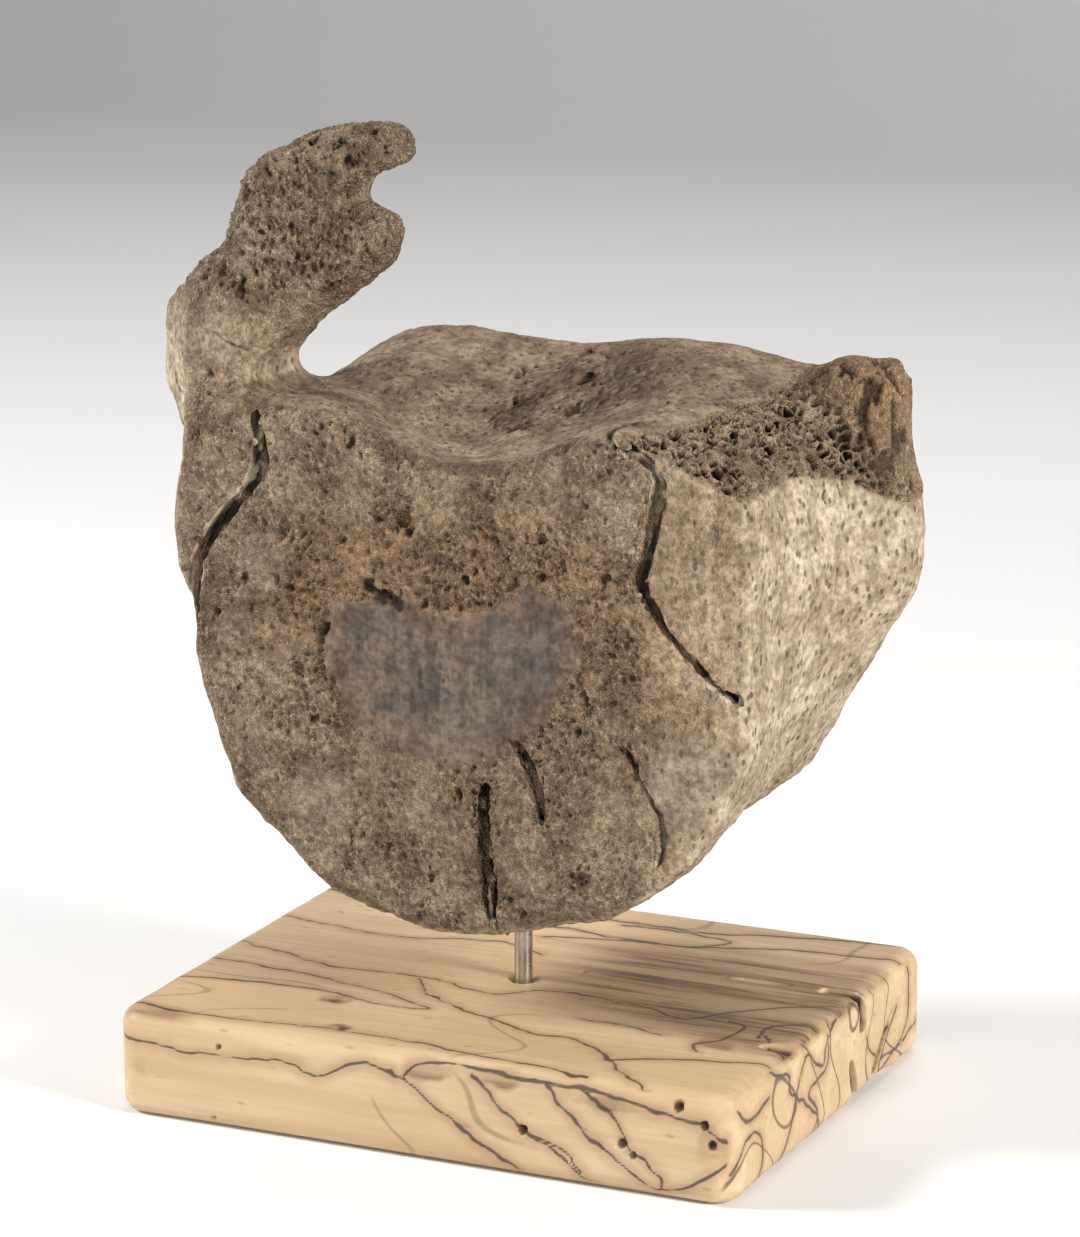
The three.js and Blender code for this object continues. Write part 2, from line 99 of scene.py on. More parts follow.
# Plank: half sizes, and zone lines as drawn by the decay on each face
PLANK_HALF = (86.5, 68.5)
PLANK_TOP = 28.6
PLANK_VOXEL = 0.0006
TOP_LINES = [
    [(-84, -3), (-66, -10), (-51, -14), (-34, -12), (-18, -13), (-3, -18), (9, -9), (24, -9), (39, -11),
     (52, -15), (60, -6), (70, 3), (84, 11)],
    [(5, 51), (25, 52), (38, 49), (29, 41), (7, 40), (-20, 44)],
    [(-10, 33), (8, 38), (31, 41), (54, 49), (72, 51), (86, 53)],
    [(-30, 50), (7, 54), (29, 54), (50, 60), (80, 65)],
    [(-25, -14), (-14, -26), (5, -36), (19, -41), (33, -42), (44, -50), (53, -60), (62, -67)],
    [(-86, -20), (-60, -22), (-32, -27), (-12, -35), (-23, -37), (-40, -34), (-62, -34), (-86, -38)],
    [(46, -53), (61, -46), (85, -39)],
    [(64, -38), (62, -32), (67, -26), (68, -15), (63, -12)],
    [(75, -22), (74, -12), (81, -7), (86, -9)],
    [(76, -19), (80, -28), (85, -31)],
    [(-84, -62), (-60, -64), (-39, -61), (-25, -60), (-8, -60), (12, -63), (31, -64), (46, -66)],
    [(27, -26), (41, -27), (51, -29)],
    [(-86, 22), (-50, 16), (-22, 24), (-4, 18)],
    [(-86, 48), (-52, 40), (-34, 34), (-60, 58), (-86, 61)],
]
FRONT_LINES = [
    [(-86, 21), (-66, 19.6), (-48, 20.4), (-35, 21), (-27, 18.6), (-17, 23.7), (-9, 23), (-3, 20.9),
     (4, 15.8), (14, 10), (23, 5.3), (31, -0.3)],
    [(16, 25), (24, 17.6), (30, 13), (39, 7.8), (46, 3), (52, -0.5)],
    [(30, 12.5), (40, 9.4), (46, 4.2)],
    [(36, 25), (44, 17), (51, 11), (59, 6), (67, 3), (74, 4.4), (83, 9.9), (86, 14)],
    [(46, 26), (54, 19.6), (59, 13.2), (63, 9.2), (68, 6.4), (68, 3.2)],
    [(-3, 22), (1, 25.7), (9, 26.8), (24, 26.2), (36, 25.6), (46, 26.2), (56, 24), (67, 22.8), (78, 20.9),
     (85, 17)],
]
END_LINES = [
    [(-43, 28), (-32, 23), (-28, 18), (-14, 8), (-6, 0)],
    [(-3, 26), (-5, 17), (-17, 14), (-11, 7), (-14, 0)],
    [(12, 28), (-3, 25), (-8, 18), (-20, 24), (-30, 8), (-38, 0)],
    [(47, 18), (38, 10), (35, 4), (54, 10), (56, 26)],
    [(-66, 8), (-58, 16), (-48, 12), (-50, 2)],
    [(-64, 24), (-56, 20), (-44, 22)],
    [(24, 16), (30, 10), (44, 6), (62, 9)],
]
# Rod: sides of its section, and the chamfer of its ends
ROD_SIDES = 64
ROD_CHAMFER = 0.5

# Worm holes: face, place on it, radius, depth
WORM_HOLES = [
    ("front", 72, 25.2, 1.5, 4.0),
    ("front", 30, 12.7, 1.2, 4.0),
    ("front", 79, 21, 1.1, 3.0),
    ("front", 81, 16, 1.3, 3.0),
    ("front", 57, 13.1, 1.2, 3.0),
    ("front", -56, 22, 0.7, 2.0),
    ("front", -58, 2.5, 0.7, 2.0),
    ("front", 60, 10.4, 0.9, 2.5),
    ("top", -37, -39, 1.6, 1.0),
    ("top", -25, -58, 1.5, 1.0),
    ("top", -53, -60, 0.7, 2.0),
    ("top", 12, 9, 0.8, 1.6),
    ("top", -70, 30, 0.7, 2.0),
    ("top", -44, 52, 0.8, 2.0),
    ("end", -22, 20, 1.0, 2.5),
    ("end", 30, 20, 0.9, 2.5),
]
# Brown knots on the top and the front: middle, and half sizes
TOP_KNOTS = [
    ((78, -17), (12.0, 9.0)),
    ((68, -28), (8.0, 6.0)),
    ((-38, -39), (5.0, 3.0)),
    ((-26, -58), (4.0, 3.0)),
    ((-75, -66), (12, 5)),
]
FRONT_KNOTS = [((3, 25), (7, 3)), ((24, 25.5), (9, 2.5)), ((80, 16), (5, 6)), ((52, 23), (10, 3))]

# Shaping helpers


def smooth(value, low, high):
    """Eased 0 to 1 as value goes from low to high."""
    share = np.clip((value - low) / (high - low), 0.0, 1.0)
    return share * share * (3.0 - 2.0 * share)


def scatter(cells, seed):
    """A steady number from 0 to 1 for each whole-number cell."""
    c = cells.astype(np.int64)
    h = (c[..., 0] * 73856093) ^ (c[..., 1] * 19349663) ^ (c[..., 2] * 83492791) ^ (seed * 2654435761)
    h = h & 0xFFFFFFFF
    for shift, factor in ((16, 0x7FEB352D), (15, 0x846CA68B)):
        h = ((h ^ (h >> shift)) * factor) & 0xFFFFFFFF
    return (h ^ (h >> 16)) / 4294967295.0


def swells(points, size, seed):
    """Smooth noise from -1 to 1 with swells about `size` across."""
    q = points / size
    base = np.floor(q)
    f = q - base
    f = f * f * (3.0 - 2.0 * f)
    total = np.zeros(len(q))
    for n in range(8):
        corner = np.array([n & 1, (n >> 1) & 1, n >> 2])
        weight = np.prod(np.where(corner, f, 1.0 - f), axis=1)
        total += weight * scatter(base + corner, seed)
    return total * 2.0 - 1.0


def rough(points, size, seed, layers=3):
    """Layered swells, each half the size and height of the one before."""
    total = np.zeros(len(points))
    for layer in range(layers):
        total += swells(points, size / 2 ** layer, seed + layer) / 2 ** layer
    return total


def bubbles(points, size, seed):
    """Distances, in bubble sizes, to the two nearest bubble centres, and the nearest one's number."""
    q = points / size
    base = np.floor(q)
    first = np.full(len(q), 9.0)
    second = np.full(len(q), 9.0)
    tag = np.zeros(len(q))
    for n in range(27):
        cell = base + np.array([n % 3 - 1, (n // 3) % 3 - 1, n // 9 - 1])
        centre = cell + np.stack([scatter(cell, seed + k) for k in (0, 1, 2)], axis=1)
        d = np.linalg.norm(q - centre, axis=1)
        nearer = d < first
        second = np.where(nearer, first, np.minimum(second, d))
        tag = np.where(nearer, scatter(cell, seed + 3), tag)
        first = np.where(nearer, d, first)
    return first, second, tag


def curve_points(points, steps=8):
    """A smooth run of points through the given ones."""
    p = np.array([points[0], *points, points[-1]], float)
    t = np.linspace(0, 1, steps, endpoint=False)[:, None]
    run = []
    for a, b, c, d in zip(p, p[1:], p[2:], p[3:]):
        bend = 2 * a - 5 * b + 4 * c - d
        twist = 3 * b - a - 3 * c + d
        run.append(0.5 * (2 * b + (c - a) * t + bend * t ** 2 + twist * t ** 3))
    return np.vstack([*run, p[-1:]])


def path_distance(u, v, points):
    """Distance in a plane from each (u, v) to a line through points."""
    nearest = np.full(len(u), 1e6)
    for (ax, ay), (bx, by) in zip(points, points[1:]):
        ex, ey = bx - ax, by - ay
        share = np.clip(((u - ax) * ex + (v - ay) * ey) / max(ex * ex + ey * ey, 1e-9), 0.0, 1.0)
        nearest = np.minimum(nearest, np.hypot(u - ax - ex * share, v - ay - ey * share))
    return nearest


def inside_outline(u, v, outline):
    inside = np.zeros(len(u), bool)
    for (ax, ay), (bx, by) in zip(outline, np.roll(outline, -1, axis=0)):
        if ay != by:
            inside ^= ((ay > v) != (by > v)) & (u < (bx - ax) * (v - ay) / (by - ay) + ax)
    return inside


def read_points(mesh):
    flat = np.empty(len(mesh.vertices) * 3, np.float32)
    mesh.vertices.foreach_get("co", flat)
    return flat.reshape(-1, 3).astype(float) / MM


def read_normals(mesh):
    flat = np.empty(len(mesh.vertices) * 3, np.float32)
    mesh.vertex_normals.foreach_get("vector", flat)
    return flat.reshape(-1, 3).astype(float)


def write_points(mesh, points):
    mesh.vertices.foreach_set("co", (points * MM).astype(np.float32).ravel())
    mesh.update()


def write_mask(mesh, name, values):
    attribute = mesh.attributes.new(name, "FLOAT", "POINT")
    attribute.data.foreach_set("value", np.clip(values, 0.0, 100.0).astype(np.float32))


def piece_from_node(name, node, join_quads=False):
    """A copy of a CAD node's mesh with its corners joined, as a new piece."""
    bm = bmesh.new()
    bm.from_mesh(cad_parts[node].data)
    bmesh.ops.remove_doubles(bm, verts=bm.verts, dist=2e-6)
    if join_quads:
        bmesh.ops.join_triangles(
            bm, faces=bm.faces, angle_face_threshold=math.radians(60), angle_shape_threshold=math.radians(60))
    mesh = bpy.data.meshes.new(name)
    bm.to_mesh(mesh)
    bm.free()
    for layer in list(mesh.uv_layers):
        mesh.uv_layers.remove(layer)
    piece = bpy.data.objects.new(name, mesh)
    bpy.context.scene.collection.objects.link(piece)
    return piece


def apply_modifiers(piece):
    depsgraph = bpy.context.evaluated_depsgraph_get()
    evaluated = piece.evaluated_get(depsgraph)
    mesh = bpy.data.meshes.new_from_object(evaluated, preserve_all_data_layers=True, depsgraph=depsgraph)
    old = piece.data
    piece.modifiers.clear()
    piece.data = mesh
    bpy.data.meshes.remove(old)
    mesh.name = piece.name


def finish_piece(piece, node, material):
    piece.data.materials.clear()
    piece.data.materials.append(material)
    piece.data.polygons.foreach_set("use_smooth", np.ones(len(piece.data.polygons), bool))
    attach(piece, "root")
    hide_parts(node)


# Bone


def bone_regions(p, n):
    """Masks from 0 to 1 for the parts of the bone that weathered in their own way."""
    x, y, z = p.T
    _, ny, nz = n.T
    along = np.clip((y - FRONT_Y) / (BACK_Y - FRONT_Y), 0.0, 1.0)
    edge = BREAK_EDGE_X[0] + (BREAK_EDGE_X[1] - BREAK_EDGE_X[0]) * along
    # Walls of pits and cracks belong to the face that they open in, so place counts more than direction
    arch = smooth(z, 186, 200) * smooth(-x, 4, 16)
    rim_share = np.hypot((x - BODY_MIDDLE[0]) / BODY_HALF[0], (z - BODY_MIDDLE[1]) / BODY_HALF[1])
    within = smooth(0.93 - rim_share, 0.0, 0.06) * smooth(-y, 34, 40)
    front = np.maximum(smooth(-ny, 0.45, 0.8), within) * smooth(-y, 24, 36) * (1 - arch)
    back = smooth(ny, 0.5, 0.85) * smooth(y, 25, 36)
    corner = smooth(x, 62, 67) * smooth(y, 20, 25) * smooth(z, 160, 168)
    slope_top = BREAK_EDGE_Z - (BREAK_SLOPE[0] + (BREAK_SLOPE[1] - BREAK_SLOPE[0]) * along) * (x - edge)
    faces_front = smooth(-ny, 0.55, 0.8) * smooth(-y, 30, 38)
    broken = smooth(x - edge, -3, 2) * smooth(z - slope_top, -6.5, -4.0) * (1 - faces_front)
    top_side = smooth(z, 150, 165) * smooth(60 - np.abs(x), 0, 8) * smooth(y, -40, -34)
    canal = np.maximum(smooth(nz, 0.35, 0.7), top_side) * (1 - np.maximum(broken, corner))
    canal *= smooth(z, 150, 165) * (1 - smooth(z, 199, 206))
    under = smooth(-nz, 0.35, 0.7) * (1 - smooth(z, 110, 140))
    side = np.clip(1 - front - back - broken - corner - canal - arch, 0.0, 1.0)
    u, v = x, z
    outline = curve_points(GREY_HEART + GREY_HEART[:1], 5)
    rim = path_distance(u, v, outline)
    signed = np.where(inside_outline(u, v, outline), -rim, rim) + 1.6 * rough(p, 5.0, 61)
    heart = front * smooth(-signed, -1.2, 1.4)
    spots = np.zeros(len(x))
    for (sx, sz), radius in GREY_SPOTS:
        d = np.hypot(u - sx, v - sz) + 2.4 * rough(p, 6.0, 67)
        spots = np.maximum(spots, front * smooth(radius - d, -1.5, 2.0))
    coral = front * smooth(26 - np.abs(signed - 6), 4, 22) * smooth(z, 88, 112) * (1 - heart)
    return dict(arch=arch, front=front, back=back, corner=corner, broken=broken, canal=canal, under=under,
                side=side, heart=heart, spots=spots, coral=coral, heart_rim=signed)


def weather_bone(mesh):
    """Pits, sponge, cracks and swells pressed into the smooth bone, and masks of what each left."""
    p = read_points(mesh)
    n = read_normals(mesh)
    x, y, z = p.T
    r = bone_regions(p, n)
    smooth_grey = np.clip(r["heart"] + 0.5 * r["spots"], 0.0, 1.0)
    crumple = np.stack([swells(p, 1.9, seed) for seed in (201, 203, 205)], axis=1)

    patchy = 0.5 + 0.5 * swells(p, 9.0, 17)
    lumps = rough(p, 13.0, 11, 4)
    height = lumps * (0.85 - 0.6 * r["heart"] - 0.35 * r["canal"])

    # Fine sponge where the outer skin has worn off
    lump_top = r["arch"] * smooth(z, 200, 222)
    bare = np.clip(r["front"] * (0.5 + 0.6 * patchy) + r["back"] * (0.35 + 0.6 * patchy) + 0.95 * lump_top
                   + 0.3 * r["arch"] + 0.25 * r["canal"] * patchy, 0.0, 1.0) * (1 - 0.95 * smooth_grey)
    bevel = r["front"] * smooth(x, 48, 57)
    bare *= 1 - 0.65 * bevel
    first, second, tag = bubbles((p + 0.75 * crumple) * np.array([1.0, 1.0, 0.8]), SPONGE_SIZE, 31)
    sponge = bare * smooth(second - first, 0.06, 0.55) * (0.35 + 0.65 * smooth(tag, 0.1, 0.6))
    height -= sponge * (0.95 + 0.8 * r["coral"] + 0.45 * lump_top)
    height += 0.35 * bare * rough(p, 1.6, 29, 2)

    # Larger pits among the sponge, uneven in size
    first, _, tag = bubbles((p + 0.9 * crumple) * np.array([1.0, 1.0, 0.75]), PIT_SIZE, 41)
    reach = 0.13 + 0.26 * tag * tag + 0.13 * lump_top
    pits = smooth(reach - first, 0.0, 0.16) * np.maximum(smooth(patchy, 0.2, 0.65), 0.8 * lump_top)
    pits *= np.clip(0.8 * bare + 0.6 * r["coral"], 0.0, 1.0)
    notch_x, notch_z = NOTCH["middle"]
    off_middle = z - notch_z - NOTCH["lean"] * (x - notch_x)
    notch = np.exp(-(off_middle / NOTCH["half_width"]) ** 2) * smooth(x, -46, -30) * r["arch"]
    height -= NOTCH["depth"] * notch
    height -= PIT_DEPTH * pits

    # Open honeycomb on the broken pedicle, and shreds on the raised corner behind it
    raw = np.clip(r["broken"], 0.0, 1.0) * (1 - r["corner"])
    first, second, tag = bubbles((p + 0.7 * crumple) * np.array([1.0, 0.9, 1.0]), HONEYCOMB_SIZE, 51)
    honeycomb = smooth(second - first, 0.05, 0.36) * smooth(tag, 0.02, 0.12) * raw
    height -= HONEYCOMB_DEPTH * honeycomb - 0.6 * raw * swells(p, 6.0, 57)
    shred_noise = rough(p * np.array([1.0, 1.0, 0.4]), SHRED_SIZE, 59, 3)
    shreds = r["corner"] * smooth(-shred_noise, -0.05, 0.5)
    height -= SHRED_DEPTH * shreds

    # Skin of the sides: rows of upright pores and faint fibres
    skin = np.clip(r["side"] + 0.8 * r["arch"] * (1 - smooth(z, 200, 222)), 0.0, 1.0)
    first, _, tag = bubbles((p + 0.6 * crumple) * np.array([1.0, 1.0, 0.5]), PORE_SIZE, 71)
    rows = smooth(rough(p * np.array([1.0, 1.0, 0.35]), 13.0, 73, 2), -0.15, 0.45)
    pores = smooth(0.16 + 0.24 * tag - first, 0.0, 0.12) * smooth(tag, 0.3, 0.6) * skin * rows
    height -= PORE_DEPTH * pores
    fibres = rough(p * np.array([1.0, 1.0, 0.1]), 2.0, 79, 2)
    height += fibres * (0.3 * skin + 0.14 * smooth_grey + 0.35 * bevel)

    # The heart stands a little proud of the worn face round it
    height += 0.45 * r["heart"] + 0.3 * r["spots"]
    gutter = np.exp(-((r["heart_rim"] - 1.8) / 1.7) ** 2) * smooth(z, 104, 132)
    height -= 0.9 * r["front"] * gutter * (0.3 + patchy)

    # Vessel openings in the middle of the canal floor
    middle = r["canal"] * np.exp(-((x - 5) / 16) ** 2) * smooth(y, -36, -20)
    first, _, tag = bubbles(p + 0.8 * crumple, VESSEL_SIZE, 83)
    vessels = smooth(0.2 + 0.25 * tag - first, 0.0, 0.16) * smooth(tag, 0.2, 0.5)
    vessels *= np.clip(middle + 0.25 * r["canal"], 0.0, 1.0)
    height -= VESSEL_DEPTH * vessels

    # Cracks across the front face, deeper and shallower along their run
    crack_shade = np.zeros(len(x))
    wander = 1.1 * rough(p, 5.0, 91)
    ragged = 0.35 + 0.65 * smooth(swells(p, 7.0, 97), -0.6, 0.6)
    choked = smooth(rough(p, 4.0, 99, 2), 0.0, 0.5)
    ahead = smooth(-n[:, 1], 0.1, 0.5) * smooth(-y, 18, 28)
    for points, half_width, depth in FRONT_CRACKS:
        run = curve_points(points, 5)
        d = path_distance(x + wander, z + 0.6 * wander, run)
        cut = np.exp(-(d / (0.6 * half_width)) ** 2) * ahead * ragged
        near = smooth(half_width + 0.35 - path_distance(x, z, run), 0.0, 0.8) * smooth(-y, 18, 28)
        open_slot = 0.75 * near * (1 - 0.8 * choked) * smooth(depth, 1.9, 2.4)
        crack_shade = np.maximum(crack_shade, np.maximum(0.8 * cut, open_slot))
        height -= 0.5 * depth * cut - 1.0 * near * choked

    write_points(mesh, p + n * np.clip(height, DEEPEST, HIGHEST)[:, None])
    # The hollow mask marks the pits, sponge, honeycomb, shreds, pores and vessel openings for painted shade
    hollow_shade = 0.6 * sponge + 0.9 * pits + honeycomb + 0.8 * shreds + 0.9 * pores + vessels
    write_mask(mesh, "hollow_shade", np.clip(hollow_shade, 0.0, 1.0))
    write_mask(mesh, "bare", np.clip(bare + 0.7 * raw + 0.8 * r["corner"], 0.0, 1.0))
    # The crack mask marks the open cracks for a painted shadow
    write_mask(mesh, "crack_shade", crack_shade)
    write_mask(mesh, "grey", np.clip(r["heart"] * smooth(-r["heart_rim"] + 3.0 * lumps, 0.0, 9.0), 0.0, 1.0))
    write_mask(mesh, "worn", np.clip(r["spots"], 0.0, 1.0))
    margin = 1 - smooth(-r["heart_rim"], 2.0, 10.0)
    write_mask(mesh, "plum", np.clip(r["heart"] * (margin + 0.5 * smooth(x, 4, 22)), 0.0, 1.0))
    # Faces that look down get less of the pale colour: painted shade on the undersides
    pale = r["side"] * (1 - 0.55 * r["under"]) + 0.7 * r["arch"] * smooth(-x, 52, 70)
    pale += 0.35 * r["front"] * smooth(np.hypot(x, z - 125), 52, 72)
    write_mask(mesh, "skin", np.clip(pale, 0.0, 1.0))
    rust = 0.75 * r["coral"] * smooth(z, 110, 138) + 0.25 * r["front"] * patchy
    rust += 0.8 * r["corner"] * smooth(z, 168, 186) + 0.15 * r["broken"]
    write_mask(mesh, "rust", np.clip(rust, 0.0, 1.0))
    write_mask(mesh, "floor", np.clip(r["canal"], 0.0, 1.0))


def make_bone(material):
    piece = piece_from_node("weathered_vertebra", "vertebra", join_quads=True)
    bpy.context.view_layer.objects.active = piece
    piece.select_set(True)
    piece.data.uv_layers.new(name="OFBake")
    bpy.ops.object.mode_set(mode="EDIT")
    bpy.ops.mesh.select_all(action="SELECT")
    bpy.ops.uv.smart_project(angle_limit=math.radians(62), island_margin=0.004)
    bpy.ops.object.mode_set(mode="OBJECT")
    piece.select_set(False)
    finer = piece.modifiers.new("finer", "SUBSURF")
    finer.levels = finer.render_levels = BONE_DIVISIONS
    finer.uv_smooth = "NONE"
    apply_modifiers(piece)
    weather_bone(piece.data)
    finish_piece(piece, "vertebra", material)
    return piece


# Plank


def plank_faces(n):
    """How far each point belongs to the top, the front and the right end."""
    looks = {"top": n[:, 2], "front": -n[:, 1], "end": n[:, 0]}
    return {face: smooth(toward, 0.4, 0.75) for face, toward in looks.items()}


def plank_places(p):
    x, y, z = p.T
    return {"top": (x, y), "front": (x, z), "end": (y, z)}


def age_plank(mesh):
    """Sanding swells, worm holes and torn grain, and how far each point is from a zone line."""
    p = read_points(mesh)
    n = read_normals(mesh)
    x, y, z = p.T
    faces = plank_faces(n)
    places = plank_places(p)
    height = 0.12 * rough(p * np.array([0.3, 1.0, 1.0]), 12.0, 101, 2)
    # Worm holes, and later the recesses made in CAD, are marked for painted shade
    hollow_shade = np.zeros(len(x))
    for face, u0, v0, radius, depth in WORM_HOLES:
        u, v = places[face]
        d = np.hypot(u - u0, v - v0) + 0.25 * swells(p, 1.5, 103)
        cut = smooth(radius - d, -0.25, 0.55) * faces[face]
        height -= depth * cut
        hollow_shade = np.maximum(hollow_shade, cut)
    # Recesses made in CAD show up as points under the plank's faces
    inset = np.minimum.reduce([PLANK_HALF[0] - np.abs(x), PLANK_HALF[1] - np.abs(y), z, PLANK_TOP - z])
    upright_corner = smooth(np.abs(x), 78, 81) * smooth(np.abs(y), 60, 63)
    recess = smooth(inset, 1.4, 2.2) * (1 - upright_corner)
    hollow_shade = np.maximum(hollow_shade, recess)
    torn = smooth(inset, 0.4, 1.4) * smooth(x, 40, 60)
    height += 0.35 * torn * rough(p * np.array([0.5, 1.0, 1.0]), 2.4, 107, 2)

    wander = 0.9 * rough(p, 6.0, 109)
    line = np.full(len(x), 40.0)
    for face, runs in (("top", TOP_LINES), ("front", FRONT_LINES), ("end", END_LINES)):
        u, v = places[face]
        for points in runs:
            d = path_distance(u + wander, v + wander, curve_points(points, 6))
            line = np.minimum(line, d + 6.0 * (1 - faces[face]))
    height -= 0.1 * np.exp(-(line / 0.5) ** 2)

    # Brown stain in the right half of the top, in the knots and behind some of the lines
    stain = faces["top"] * smooth(x, -12, 30) * smooth(y + 0.35 * x, -14, 2) * smooth(70 - y, 18, 40)
    for (kx, ky), (half_x, half_y) in TOP_KNOTS:
        d = np.hypot((x - kx) / half_x, (y - ky) / half_y) + 0.35 * rough(p, 7.0, 113)
        stain = np.maximum(stain, 0.9 * smooth(1 - d, -0.2, 0.5) * faces["top"])
    for (kx, kz), (half_x, half_z) in FRONT_KNOTS:
        d = np.hypot((x - kx) / half_x, (z - kz) / half_z) + 0.5 * rough(p, 5.0, 127)
        stain = np.maximum(stain, 0.8 * smooth(1 - d, -0.2, 0.5) * faces["front"])
    write_points(mesh, p + n * height[:, None])
    write_mask(mesh, "zone_line", line)
    write_mask(mesh, "stain", stain)
    write_mask(mesh, "hollow_shade", hollow_shade)
    write_mask(mesh, "end_grain", faces["end"])


def box_unwrap(mesh):
    """One island for each of the six directions that the faces look in, in a three by two sheet."""
    count = len(mesh.polygons)
    normals = np.empty(count * 3, np.float32)
    mesh.polygons.foreach_get("normal", normals)
    normals = normals.reshape(-1, 3)
    axis = np.abs(normals).argmax(axis=1)
    positive = normals[np.arange(count), axis] > 0
    totals = np.empty(count, np.int32)
    mesh.polygons.foreach_get("loop_total", totals)
    corners = np.empty(len(mesh.loops), np.int32)
    mesh.loops.foreach_get("vertex_index", corners)
    p = read_points(mesh)
    low, span = p.min(axis=0), np.ptp(p, axis=0).max()
    q = (p[corners] - low) / span
    a, side = np.repeat(axis, totals), np.repeat(positive, totals)
    u = np.where(a == 0, q[:, 1], q[:, 0])
    v = np.where(a == 2, q[:, 1], q[:, 2])
    uv = np.stack([(u * 0.94 + 0.03 + a) / 3, (v * 0.94 + 0.03 + side) / 2], axis=1)
    layer = mesh.uv_layers.new(name="OFBake")
    layer.data.foreach_set("uv", uv.astype(np.float32).ravel())


def make_plank(material):
    piece = piece_from_node("spalted_plank", "wood_base")
    even = piece.modifiers.new("even", "REMESH")
    even.mode = "VOXEL"
    even.voxel_size = PLANK_VOXEL
    apply_modifiers(piece)
    box_unwrap(piece.data)
    age_plank(piece.data)
    finish_piece(piece, "wood_base", material)
    return piece


# Rod


def make_rod(material):
    """A drawn bar with chamfered ends and faint ripples left by the die."""
    low, high = (np.array(corner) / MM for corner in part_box("mount_rod"))
    radius = (high[0] - low[0]) / 2
    middle = (low + high) / 2
    heights = np.concatenate([[low[2], low[2] + ROD_CHAMFER], np.arange(low[2] + 1.5, high[2] - 1.0, 1.0),
                              [high[2] - ROD_CHAMFER, high[2]]])
    bm = bmesh.new()
    rings = []
    for i, z in enumerate(heights):
        end = i in (0, len(heights) - 1)
        reach = radius - (ROD_CHAMFER if end else 0.02 * (1 + math.sin(z * 2.3)))
        turn = [2 * math.pi * k / ROD_SIDES for k in range(ROD_SIDES)]
        circle = [(middle[0] + reach * math.cos(t), middle[1] + reach * math.sin(t), z) for t in turn]
        rings.append([bm.verts.new(Vector(place) * MM) for place in circle])
    for below, above in zip(rings, rings[1:]):
        for k in range(ROD_SIDES):
            bm.faces.new((below[k], below[(k + 1) % ROD_SIDES], above[(k + 1) % ROD_SIDES], above[k]))
    bm.faces.new(rings[0][::-1])
    bm.faces.new(rings[-1])
    mesh = bpy.data.meshes.new("drawn_rod")
    bm.to_mesh(mesh)
    bm.free()
    box_unwrap(mesh)
    piece = bpy.data.objects.new("drawn_rod", mesh)
    bpy.context.scene.collection.objects.link(piece)
    finish_piece(piece, "mount_rod", material)
    return piece


# Materials


class Tree:
    """Adds and joins nodes in one node tree."""

    def __init__(self, tree):
        self.tree = tree

    def node(self, kind, inputs=None, **settings):
        node = self.tree.nodes.new(kind)
        for name, value in settings.items():
            setattr(node, name, value)
        for name, value in (inputs or {}).items():
            self.feed(node.inputs[name], value)
        return node

    def feed(self, socket, value):
        if isinstance(value, bpy.types.NodeSocket):
            self.tree.links.new(value, socket)
        else:
            socket.default_value = value

    def group(self, group, **inputs):
        node = self.tree.nodes.new("ShaderNodeGroup")
        node.node_tree = group
        for name, value in inputs.items():
            self.feed(node.inputs[name.replace("_", " ").title()], value)
        return node

    def math(self, operation, a, b=0.0, clamp=False):
        node = self.node("ShaderNodeMath", {0: a, 1: b}, operation=operation, use_clamp=clamp)
        return node.outputs[0]

    def ramp(self, value, low, high, to_low=0.0, to_high=1.0):
        levels = {"Value": value, "From Min": low, "From Max": high, "To Min": to_low, "To Max": to_high}
        return self.node("ShaderNodeMapRange", levels, interpolation_type="SMOOTHSTEP").outputs["Result"]

    def vector(self, operation, a, b):
        other = "Scale" if operation == "SCALE" else 1
        return self.node("ShaderNodeVectorMath", {0: a, other: b}, operation=operation).outputs[0]

    def mix(self, share, a, b, blend="MIX"):
        node = self.node("ShaderNodeMix", data_type="RGBA", blend_type=blend)
        for socket, value in ((node.inputs["Factor"], share), (node.inputs[6], a), (node.inputs[7], b)):
            self.feed(socket, (*value, 1.0) if isinstance(value, tuple) and len(value) == 3 else value)
        return node.outputs[2]

    def mask(self, name):
        return self.node("ShaderNodeAttribute", attribute_name=name).outputs["Fac"]


def new_group(name, inputs, outputs):
    group = bpy.data.node_groups.new(name, "ShaderNodeTree")
    for label, kind, default in inputs:
        socket = group.interface.new_socket(label, in_out="INPUT", socket_type=kind)
        socket.default_value = default
    for label, kind in outputs:
        group.interface.new_socket(label, in_out="OUTPUT", socket_type=kind)
    tree = Tree(group)
    return group, tree, tree.node("NodeGroupInput").outputs, tree.node("NodeGroupOutput").inputs


def mottle_group():
    """Cloudy patches: a mask from layered noise, between two levels."""
    group, tree, given, out = new_group(
        "Mottle",
        [("Scale", "NodeSocketFloat", 60.0), ("Stretch", "NodeSocketVector", (1.0, 1.0, 1.0)),
         ("Low", "NodeSocketFloat", 0.4), ("High", "NodeSocketFloat", 0.6),
         ("Detail", "NodeSocketFloat", 5.0)],
        [("Mask", "NodeSocketFloat"), ("Height", "NodeSocketFloat")])
    place = tree.node("ShaderNodeTexCoord").outputs["Object"]
    stretched = tree.vector("MULTIPLY", place, given["Stretch"])
    settings = {"Vector": stretched, "Scale": given["Scale"], "Detail": given["Detail"], "Roughness": 0.6}
    noise = tree.node("ShaderNodeTexNoise", settings)
    tree.feed(out["Mask"], tree.ramp(noise.outputs["Fac"], given["Low"], given["High"]))
    tree.feed(out["Height"], noise.outputs["Fac"])
    return group


